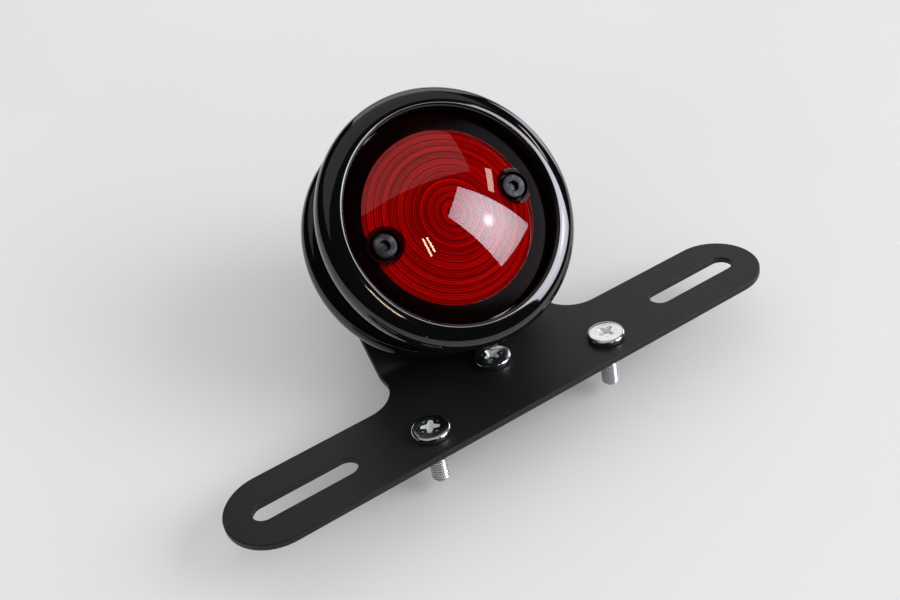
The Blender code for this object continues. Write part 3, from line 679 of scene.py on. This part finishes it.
PAD_BOTTOM, PAD_TOP, PAD_EDGE_MIDDLE, PAD_EDGE = 0.0003, 0.0016, 0.0308, 0.0002


def back_holes(bottom, top):
    """Tools for the three bolt holes and the wire hole through the back of the lamp."""
    ends = (bottom - PAST, top + PAST)
    tools = [prism("bolt_hole", HOLE_RADIUS, *ends, 32, place) for place in BOLT_PLACES]
    tools.append(prism("wire_hole", WIRE_HOLE_RADIUS, *ends, 32, WIRE_PLACE))
    return [("DIFFERENCE", tool) for tool in tools]


def moulded_rubber(point):
    grain = point.noise(1500.0, 3.0)
    bloom = point.noise(70.0, 3.0)
    clean, dusty = (0.014, 0.014, 0.014), (0.026, 0.026, 0.025)
    return {
        "Base Color": bloom.between(0.3, 0.75).colours(clean, dusty),
        "Roughness": 0.62 + 0.2 * bloom,
        "Normal": grain.relief(0.5, 0.00006),
    }


black_rubber = coat("black_rubber", {}, moulded_rubber)
pad_edge = arc(PAD_EDGE_MIDDLE, PAD_TOP - PAD_EDGE, PAD_EDGE, 90, 0, 3)
pad_edge += arc(PAD_EDGE_MIDDLE, PAD_BOTTOM + PAD_EDGE, PAD_EDGE, 0, -90, 3)
pad_blank = turned("pad", [(0.0, PAD_TOP)] + pad_edge + [(0.0, PAD_BOTTOM)], 128, closed=False)
pad_mesh = worked(pad_blank, back_holes(PAD_BOTTOM, PAD_TOP))
fitted("rubber_base_pad", pad_mesh, on_lamp, black_rubber, "root", "rubber", "base_pad")


# === Housing =====================================================================================
# The rear half of the casing: a spun cup with one rolled bead round its waist, two posts for the
# lens screws, and a floor drilled for the bolts, the wire and the lamp holder's rivets.

NECK, CUP_BORE, CUP_FLOOR, CUP_BACK, PART_LINE = 0.0360, 0.0337, 0.0039, 0.0019, 0.0222
LENS_SCREW_X = 0.0244


def gloss_enamel(point):
    flow = point.noise(95.0, 1.0)
    fine = point.noise(700.0, 2.0)
    haze = point.noise(45.0, 3.0).between(0.35, 0.8)
    dust = point.specks(330.0, 0.66)
    return {
        "Base Color": dust.colours((0.0032, 0.0032, 0.0036), (0.035, 0.034, 0.033)),
        "Roughness": 0.045 + 0.035 * haze + 0.25 * dust,
        "Normal": (0.8 * flow + 0.2 * fine).relief(0.10, 0.00006),
    }


gloss_black = coat("gloss_black_enamel", {
    "IOR": 1.5, "Coat Weight": 0.35, "Coat Roughness": 0.02}, gloss_enamel)
bead_r, bead_z, bead_section = 0.0379, 0.01006, 0.0044
meet = math.degrees(math.acos((NECK - bead_r) / bead_section))
foot_corner, NECK_EDGE = 0.0010, 0.0004
cup = [(0.0, CUP_FLOOR), (CUP_BORE - foot_corner, CUP_FLOOR), (CUP_BORE, CUP_FLOOR + foot_corner)]
cup += [(CUP_BORE, PART_LINE), (NECK - NECK_EDGE, PART_LINE), (NECK, PART_LINE - NECK_EDGE)]
cup += arc(bead_r, bead_z, bead_section, meet, -80, 56)
heel = [(0.0335, 0.0049), (0.0314, 0.0022), (0.0310, CUP_BACK)]
cup += heel + [(0.0, CUP_BACK)]
post_radius, post_top, tapping_radius, tapping_foot = 0.0040, 0.0224, 0.0028, 0.0135
rivet_reach, rivet_radius = 0.0112, 0.0016
housing_steps = []
for post_x in (-LENS_SCREW_X, LENS_SCREW_X):
    post = prism("post", post_radius, CUP_FLOOR - PAST, post_top, 32, (post_x, 0.0))
    tapping = prism("tapping", tapping_radius, tapping_foot, post_top + PAST, 24, (post_x, 0.0))
    housing_steps += [("UNION", post), ("DIFFERENCE", tapping)]
housing_steps += back_holes(CUP_BACK, CUP_FLOOR)
for rivet_y in (-rivet_reach, rivet_reach):
    rivet_hole = prism("rivet_hole", rivet_radius, CUP_BACK - PAST, CUP_FLOOR + PAST, 20,
                       (0.0, rivet_y))
    housing_steps.append(("DIFFERENCE", rivet_hole))
housing_mesh = worked(turned("housing", cup, 192, closed=False), housing_steps)
fitted("spun_housing", housing_mesh, on_lamp, gloss_black, "root", "gloss_black", "housing")


# === Front ring ==================================================================================
# The front half of the casing: a second, fatter rolled bead that curls in to a lip round the lens,
# on a neck that plugs into the housing.  It is enamelled with it in deep gloss black.

crest_r, crest_z, crest_section, lip = 0.03645, 0.0349, 0.00680, 0.00115
neck_turn = math.acos((NECK - crest_r) / crest_section)
face_crown, face_turn, crest_top = 0.0100, 18, crest_z + crest_section
lean = math.radians(face_turn)
side = (crest_section - face_crown * math.sin(lean)) / (1 - math.sin(lean))
side_r = crest_r + (face_crown - side) * math.sin(lean)
side_z = crest_top - face_crown + (face_crown - side) * math.cos(lean)
drop = side_z - crest_z + crest_section
ring = arc(crest_r, crest_top - lip, lip, 180, 90, 16)
ring += arc(crest_r, crest_top - face_crown, face_crown, 90, 90 - face_turn, 14)[1:]
ring += arc(side_r, side_z, side, 90 - face_turn, 0, 34)[1:]
for step in range(1, 45):
    turn = neck_turn * step / 44
    ring.append((crest_r + crest_section * math.cos(turn), side_z - drop * math.sin(turn)))
shoulder = PART_LINE + 0.0003
plug_radius, plug_bore, plug_foot, seat_radius, seat_height = 0.0334, 0.0314, 0.0199, 0.0353, 0.0330
ring += [(NECK, shoulder + NECK_EDGE), (NECK - NECK_EDGE, shoulder), (plug_radius, shoulder)]
ring += [(plug_radius, plug_foot), (plug_bore, plug_foot), (plug_bore, seat_height)]
ring.append((seat_radius, seat_height))
ring_mesh = turned("front_ring", ring, 224)
fitted("rolled_front_ring", ring_mesh, on_lamp, gloss_black, "root", "gloss_black", "front_ring")


# === Lens gasket =================================================================================
# A flat ring punched from black rubber sheet.  It lies on the front ring's seat, and the lens is
# screwed down on it.

gasket_bore, gasket_radius, gasket_low, gasket_top = 0.0290, 0.0350, 0.0333, 0.0340
gasket = [(gasket_bore, gasket_top), (gasket_radius, gasket_top)]
gasket += [(gasket_radius, gasket_low), (gasket_bore, gasket_low)]
fitted("flat_lens_gasket", turned("gasket", gasket, 160), on_lamp, black_rubber, "root", "rubber",
       "lens_gasket")


# === Lens ========================================================================================
# One moulding of transparent red plastic: a shallow dome on a flat flange.  Its inside is cut into
# rings that spread the light, and two bosses take the screws that hold it in.

LENS_RADIUS, LENS_BACK, FLANGE_TOP = 0.0350, 0.0343, 0.0371
DOME_RADIUS, DOME_RISE = 0.0287, 0.0054
INNER_RADIUS, INNER_APEX = 0.02745, 0.0400
RING_PITCH, RING_DEPTH, FIRST_RING = 0.0023, 0.00020, 0.0010
BOSS_RADIUS, BOSS_TOP = 0.0061, 0.0386
SCREW_SEAT = 0.0364


def dome_height(radius, edge_radius, edge_height, rise):
    """Height of a shallow spherical dome at a distance from its middle."""
    sphere = (edge_radius**2 + rise**2) / (2 * rise)
    return edge_height + rise - sphere + math.sqrt(sphere**2 - radius**2)


def optic_height(radius):
    """The inside of the dome: rings that bulge inwards, each with a finer step beside it."""
    smooth = dome_height(radius, INNER_RADIUS, LENS_BACK, INNER_APEX - LENS_BACK)
    place = (radius - FIRST_RING) / RING_PITCH % 1.0
    bulge = 1 - (2 * place - 1) ** 2
    finer = 0.16 * abs(math.sin(math.tau * place * 1.5))
    return smooth - RING_DEPTH * (bulge + finer)


lens_profile = [(0.0, FLANGE_TOP + DOME_RISE)]
dome_steps, optic_steps, lens_edge = 40, 132, 0.0003
for number in range(1, dome_steps + 1):
    radius = DOME_RADIUS * number / dome_steps
    lens_profile.append((radius, dome_height(radius, DOME_RADIUS, FLANGE_TOP, DOME_RISE)))
lens_profile += arc(LENS_RADIUS - lens_edge, FLANGE_TOP - lens_edge, lens_edge, 90, 0, 4)
lens_profile += [(LENS_RADIUS, LENS_BACK), (INNER_RADIUS, LENS_BACK)]
for number in range(optic_steps - 1, 0, -1):
    radius = (INNER_RADIUS - 0.0006) * number / optic_steps
    lens_profile.append((radius, optic_height(radius)))
lens_profile.append((0.0, optic_height(0.00001)))
lens_steps = []
boss_foot, draft, tool_top = LENS_BACK + 0.0004, 0.0001, 0.0450
counterbore_radius, hole_radius = 0.00495, 0.0028
for boss_x in (-LENS_SCREW_X, LENS_SCREW_X):
    boss = prism("boss", BOSS_RADIUS, boss_foot, BOSS_TOP, 56, (boss_x, 0.0), BOSS_RADIUS + draft)
    counterbore = prism("counterbore", counterbore_radius, SCREW_SEAT, tool_top, 48, (boss_x, 0.0))
    screw_hole = prism("screw_hole", hole_radius, LENS_BACK - 2 * PAST, tool_top, 32,
                       (boss_x, 0.0))
    lens_steps += [("UNION", boss), ("DIFFERENCE", counterbore), ("DIFFERENCE", screw_hole)]
lens_mesh = worked(turned("lens", lens_profile, 176, closed=False), lens_steps, angle=14)


LAMP_AXIS = on_lamp.to_3x3() @ Vector((0.0, 0.0, 1.0))


# The lens's red, with painted shade of its inner rings laid over it.
def red_tone_with_ring_shade_lines(point):
    haze = point.noise(60.0, 3.0).between(0.4, 0.9)
    dust = point.specks(300.0, 0.64)
    radius = from_axis(point, on_lamp.translation, LAMP_AXIS)
    place = (radius + (0.5 * RING_PITCH - FIRST_RING)) / RING_PITCH
    step = place.math("PINGPONG", place, 0.5)
    fine = (place * 3).math("PINGPONG", place * 3, 0.5)
    spread = radius.node("ShaderNodeCombineXYZ", {}, {"X": radius})
    uneven = spread.noise(520.0, 1.0).between(0.3, 0.7)
    # Painted shade: dark lines where the inner rings meet and finer ones between them, and painted shading that
    # brightens across each ring.
    painted_coarse_ring_shade = (1 - step.between(0.0, 0.14)) * (0.5 + 0.5 * uneven)
    painted_fine_ring_shade = (1 - fine.between(0.0, 0.30)) * (0.75 - 0.6 * uneven)
    painted_shading_across_ring = place.math("FRACT", place)
    tone = 0.4 * uneven + 0.4 * painted_shading_across_ring + 0.2 * haze
    red = tone.colours((0.25, 0.0008, 0.0008), (1.0, 0.005, 0.004))
    return {
        "Base Color": (painted_coarse_ring_shade + painted_fine_ring_shade).colours(red, (0.035, 0.0, 0.0)),
        "Roughness": 0.012 + 0.02 * haze + 0.25 * dust,
    }


# Painted shade: a near-black red for the flange, where no light comes through from behind. Its roughness is the
# flange's own.
def flange_painted_shade(point):
    haze = point.noise(60.0, 3.0).between(0.4, 0.9)
    return {
        "Base Color": haze.colours((0.0022, 0.0001, 0.0001), (0.0045, 0.0002, 0.0002)),
        "Roughness": 0.14 + 0.08 * haze,
    }


# The flange and the bosses are near black as painted shade, since no light comes through from behind them. The
# lens lets red light through.
red_plastic = coat("red_lens_plastic", {"IOR": 1.49, "Transmission Weight": 0.66}, red_tone_with_ring_shade_lines)
red_tree = red_plastic.node_tree
red_body = Wire(red_tree, red_tree.nodes["Principled BSDF"].outputs["BSDF"])
spot = red_body.node("ShaderNodeTexCoord", {}, {}, "Object")
deep = red_body.node("ShaderNodeBsdfPrincipled", {}, {
    "Specular IOR Level": 0.02, **flange_painted_shade(spot)})
lens_radius = from_axis(spot, on_lamp.translation, LAMP_AXIS)
flange_shade_mask = lens_radius.between(DOME_RADIUS - 0.0001, DOME_RADIUS + 0.0001)
for boss_x in (-LENS_SCREW_X, LENS_SCREW_X):
    boss_radius = from_axis(spot, on_lamp @ Vector((boss_x, 0.0, 0.0)), LAMP_AXIS)
    boss_shade_mask = 0.93 * (1 - boss_radius.between(0.0058, 0.0064))
    flange_shade_mask = flange_shade_mask.math("MAXIMUM", flange_shade_mask, boss_shade_mask)
red_whole = red_body.node("ShaderNodeMixShader", {}, {0: flange_shade_mask, 1: red_body, 2: deep})
in_shadow = red_body.node("ShaderNodeLightPath", {}, {}, "Is Shadow Ray")
let_through = red_body.node("ShaderNodeBsdfTransparent", {}, {"Color": (0.96, 0.10, 0.09, 1.0)})
red_lit = red_body.node("ShaderNodeMixShader", {}, {0: in_shadow, 1: red_whole, 2: let_through})
red_tree.links.new(red_lit.socket, red_tree.nodes["Material Output"].inputs["Surface"])
fitted("ringed_red_lens", lens_mesh, on_lamp, red_plastic, "root", "red_lens", "lens")


# === Lens screws =================================================================================
# Two M5 socket-head screws in blackened steel, sunk in the lens's bosses and run down into the
# housing's posts.

def socket_head(name, radius, seat, top, corner, steps, socket_radius, *tools):
    """A round head: its top corner rounded, its lower edge broken, and a hexagon socket sunk in."""
    edge, socket_depth = 0.0002, 0.0016
    profile = [(0.0, top)] + arc(radius - corner, top - corner, corner, 90, 0, 8)
    profile += [(radius, seat + edge), (radius - edge, seat), (0.0, seat)]
    socket = prism("socket", socket_radius, top - socket_depth, top + PAST, 6)
    cuts = [("DIFFERENCE", tool) for tool in (socket, *tools)]
    return worked(turned(name, profile, steps, closed=False), cuts)


def blackened_steel(point):
    worn = point.noise(480.0, 4.0).between(0.45, 0.8)
    grain = point.noise(2200.0, 2.0)
    return {
        "Base Color": worn.colours((0.016, 0.0165, 0.018), (0.060, 0.059, 0.058)),
        "Roughness": 0.24 + 0.12 * worn + 0.08 * grain,
        "Normal": grain.relief(0.25, 0.00002),
    }


black_oxide = coat("black_oxide_steel", {"Metallic": 1.0}, blackened_steel)
lens_screw_top = 0.0389
chamfer = prism("chamfer", 0.00215, lens_screw_top - 0.0002, lens_screw_top + 0.0002, 40,
                low_radius=0.00155)
lens_screw_head = socket_head("lens_screw_head", 0.00425, 0.0367, lens_screw_top, 0.0007, 56,
                              0.00173, chamfer)
lens_screws_mesh = on_points(threaded, [(-LENS_SCREW_X, 0.0), (LENS_SCREW_X, 0.0)], [0.2, 0.6], {
    "Head": held(lens_screw_head), "Shank Top": 0.0369, "Shank Radius": 0.00248,
    "Shank Length": 0.0202, "Pitch": 0.0008, "Thread Depth": 0.00042, "Rows": 170,
    "Finish": black_oxide})
fitted("lens_screws", lens_screws_mesh, on_lamp, black_oxide, "root", "black_oxide",
       "lens_screw_left", "lens_screw_right")


# === Reflector ===================================================================================
# A dished pressing in bright silvered steel, which throws the bulb's light forward and is held by
# the lens screws that pass through its rim.

def silvering(point):
    cloud = point.noise(55.0, 3.0).between(0.3, 0.8)
    grain = point.noise(800.0, 2.0)
    return {
        "Base Color": cloud.colours((0.90, 0.90, 0.88), (0.82, 0.82, 0.80)),
        "Roughness": 0.44 + 0.08 * cloud,
        "Normal": grain.relief(0.2, 0.00004),
    }


silvered = coat("silvered_pressing", {"Metallic": 1.0}, silvering)
dish_bore, dish_knee, dish_radius = 0.0089, 0.0284, 0.0309
foot_low, foot_high, rim_low, rim_high = 0.0192, 0.0200, 0.0297, 0.0305
dish = [(dish_bore, foot_high), (dish_knee, rim_high), (dish_radius, rim_high)]
dish += [(dish_radius, rim_low), (dish_knee, rim_low), (dish_bore, foot_low)]
clearance_radius, clearance_top = 0.0031, 0.0317
dish_holes = []
for hole_x in (-LENS_SCREW_X, LENS_SCREW_X):
    clearance = prism("clearance", clearance_radius, foot_low, clearance_top, 28, (hole_x, 0.0))
    dish_holes.append(("DIFFERENCE", clearance))
reflector_mesh = worked(turned("reflector", dish, 128), dish_holes)
fitted("dished_reflector", reflector_mesh, on_lamp, silvered, "root", "silvered_reflector",
       "reflector")


# === Bulb holder =================================================================================
# A drawn cup in nickel-plated brass with a window each side for the bulb's pins, riveted to the
# floor.  A phenolic disc with two contacts slides in it on a wire spring.

def plated(point):
    cloud = point.noise(130.0, 3.0).between(0.3, 0.75)
    grain = point.noise(1600.0, 2.0)
    return {
        "Base Color": cloud.colours((0.66, 0.56, 0.34), (0.60, 0.55, 0.44)),
        "Roughness": 0.24 + 0.14 * cloud,
        "Normal": grain.relief(0.2, 0.00002),
    }


def board(point):
    fibre = point.noise(900.0, 4.0).between(0.35, 0.7)
    return {
        "Base Color": fibre.colours((0.16, 0.075, 0.032), (0.24, 0.125, 0.058)),
        "Roughness": 0.5 + 0.15 * fibre,
        "Normal": fibre.relief(0.3, 0.00003),
    }


def drawn_wire(point):
    grain = point.noise(1400.0, 3.0)
    return {
        "Base Color": grain.colours((0.42, 0.42, 0.44), (0.58, 0.58, 0.60)),
        "Roughness": 0.22 + 0.16 * grain,
    }


def recoat(finish, *nodes):
    """Gives CAD nodes that keep their own shape a finish."""
    for node in nodes:
        for material_slot in frame["nodes"][node].material_slots:
            material_slot.material = finish


nickel_brass = coat("nickel_plated_brass", {"Metallic": 1.0}, plated)
phenolic = coat("brown_phenolic", {}, board)
spring_wire = coat("spring_wire", {"Metallic": 1.0}, drawn_wire)
recoat(nickel_brass, "socket_shell", "socket_rivet_low", "socket_rivet_high", "contact_stop",
       "contact_tail")
recoat(phenolic, "plunger_disc")


def coil_tree():
    """A round wire wound on a spiral."""
    tree, size = node_tree("wound_wire", {
        "Turns": "Float", "Coil Radius": "Float", "Rise": "Float", "Wire Radius": "Float"})
    radius = size["Coil Radius"]
    path = radius.node("GeometryNodeCurveSpiral", {}, {
        "Resolution": 48, "Rotations": size["Turns"], "Start Radius": radius, "End Radius": radius,
        "Height": size["Rise"]})
    section = radius.node("GeometryNodeCurvePrimitiveCircle", {}, {
        "Resolution": 14, "Radius": size["Wire Radius"]})
    wire = radius.node("GeometryNodeCurveToMesh", {}, {
        "Curve": path, "Profile Curve": section, "Fill Caps": True})
    seat_on_points(tree, size, radius.node("GeometryNodeSetShadeSmooth", {}, {"Geometry": wire}))
    return tree


# The coil's wire is on its spiral's line, so the coil stands one wire radius past both ends of it.
COIL_FOOT, COIL_RISE, COIL_WIRE = 0.0045, 0.0028, 0.0003
coil_mesh = on_points(coil_tree(), [(0.0, 0.0)], [0.0], {
    "Turns": 2.0, "Coil Radius": 0.0052, "Rise": COIL_RISE, "Wire Radius": COIL_WIRE,
    "Finish": spring_wire})
coil_place = on_lamp @ Matrix.Translation((0.0, 0.0, COIL_FOOT))
coil = fitted("contact_coil_spring", coil_mesh, coil_place, spring_wire, "root", "spring_steel",
              "contact_spring")
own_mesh(coil)


# === Bulb ========================================================================================
# A two-filament bayonet bulb: a clear blown globe on a plated brass cap, with a glass stem that
# carries the filaments of drawn tungsten.

def blown_glass(point):
    drawn = point.noise(75.0, 2.0)
    return {"Roughness": 0.01 + 0.03 * drawn, "Normal": drawn.relief(0.06, 0.0001)}


clear_glass = coat("clear_blown_glass", {"Base Color": (0.95, 0.97, 0.97, 1.0), "IOR": 1.5,
                                         "Transmission Weight": 1.0}, blown_glass)
tungsten = coat("tungsten_coil", {"Metallic": 1.0}, drawn_wire)
recoat(nickel_brass, "bulb_base")
recoat(clear_glass, "bulb_glass", "bulb_stem")
recoat(tungsten, "filament_stop", "filament_tail")


# === Mounting bolts, washers and nuts ============================================================
# Three M6 button-head bolts run from inside the housing through its floor, the pad and the tongue,
# with a plain washer and a hexagon nut on each behind.  All are in bright zinc plate.

def washer():
    top, low, edge, bore = -0.0026, -0.0038, 0.0060, 0.0033
    profile = [(bore, top), (edge - 0.0002, top), (edge, top - 0.0002), (edge, low + 0.0001)]
    profile += [(edge - 0.0001, low), (bore, low)]
    return turned("washer", profile, 56)


def hexagon_nut():
    """A six-sided bar, its corners turned off at both ends and its bore countersunk."""
    top, low, corner = -0.0041, -0.0091, 0.00577
    flat = corner * math.cos(math.pi / 6)
    cone = (corner - flat + 0.0001) * math.tan(math.radians(30))
    edge, wide, chamfer = flat - 0.0001, corner + 0.0003, cone + 0.00017
    form = [(0.0, top), (edge, top), (wide, top - chamfer)]
    form += [(wide, low + chamfer), (edge, low), (0.0, low)]
    turned_form = turned("nut_form", form, 72, closed=False)
    thread, mouth, sink = 0.0027, 0.0043, 0.0006
    bore = [(0.0, top + PAST), (mouth, top + PAST), (thread, top - sink), (thread, low + sink)]
    bore += [(mouth, low - PAST), (0.0, low - PAST)]
    steps = [("INTERSECT", turned_form), ("DIFFERENCE", turned("bore", bore, 40, closed=False))]
    return worked(prism("nut", corner, low - 0.0005, top + 0.0005, 6), steps)


def seated_tree():
    """A part on every point."""
    tree, size = node_tree("seated_parts", {"Part": "Object"})
    part = size["Part"].node("GeometryNodeObjectInfo", {}, {"Object": size["Part"]}, "Geometry")
    seat_on_points(tree, size, part)
    return tree


seated = seated_tree()
bolt_head = socket_head("bolt_head", 0.0050, 0.0042, 0.0068, 0.0008, 48, 0.0023)
bolts_mesh = on_points(threaded, BOLT_PLACES, [0.1, 0.9, 0.5], {
    "Head": held(bolt_head), "Shank Top": 0.0044, "Shank Length": 0.0302, "Rows": 240,
    **M6_THREAD})
fitted("mounting_bolts", bolts_mesh, on_lamp, bright_zinc, "root", "bright_zinc",
       "mounting_bolt_left", "mounting_bolt_right", "mounting_bolt_top")
for name, part, turns in (("washer", washer(), [0.0] * 3), ("nut", hexagon_nut(), [0.1, 0.7, 0.4])):
    mesh = on_points(seated, BOLT_PLACES, turns, {"Part": held(part), "Finish": bright_zinc})
    nodes = [f"bolt_{name}_{side}" for side in ("left", "right", "top")]
    fitted(f"bolt_{name}s", mesh, on_lamp, bright_zinc, "root", "bright_zinc", *nodes)


# === Wire grommet ================================================================================
# A moulded rubber bush with a tapered nozzle, snapped into the wire hole through floor, pad and
# tongue.

inside, outside, neck, bore, flange = 0.0042, -0.0026, 0.0037, 0.0021, 0.0050
tip = outside - 0.0065
bush = [(bore, inside + 0.0011)] + arc(0.0047, inside + 0.0008, 0.0003, 90, 0, 4)
bush += [(flange, inside), (neck, inside), (neck, outside), (flange, outside)]
bush += arc(0.0046, outside - 0.0010, 0.0004, 0, -80, 4)
bush += [(0.0038, outside - 0.0018), (0.0032, outside - 0.0062), (0.0029, tip), (bore, tip)]
grommet_place = on_lamp @ Matrix.Translation((*WIRE_PLACE, 0.0))
fitted("rubber_wire_grommet", turned("grommet", bush, 64), grommet_place, black_rubber, "root",
       "rubber", "wire_grommet")
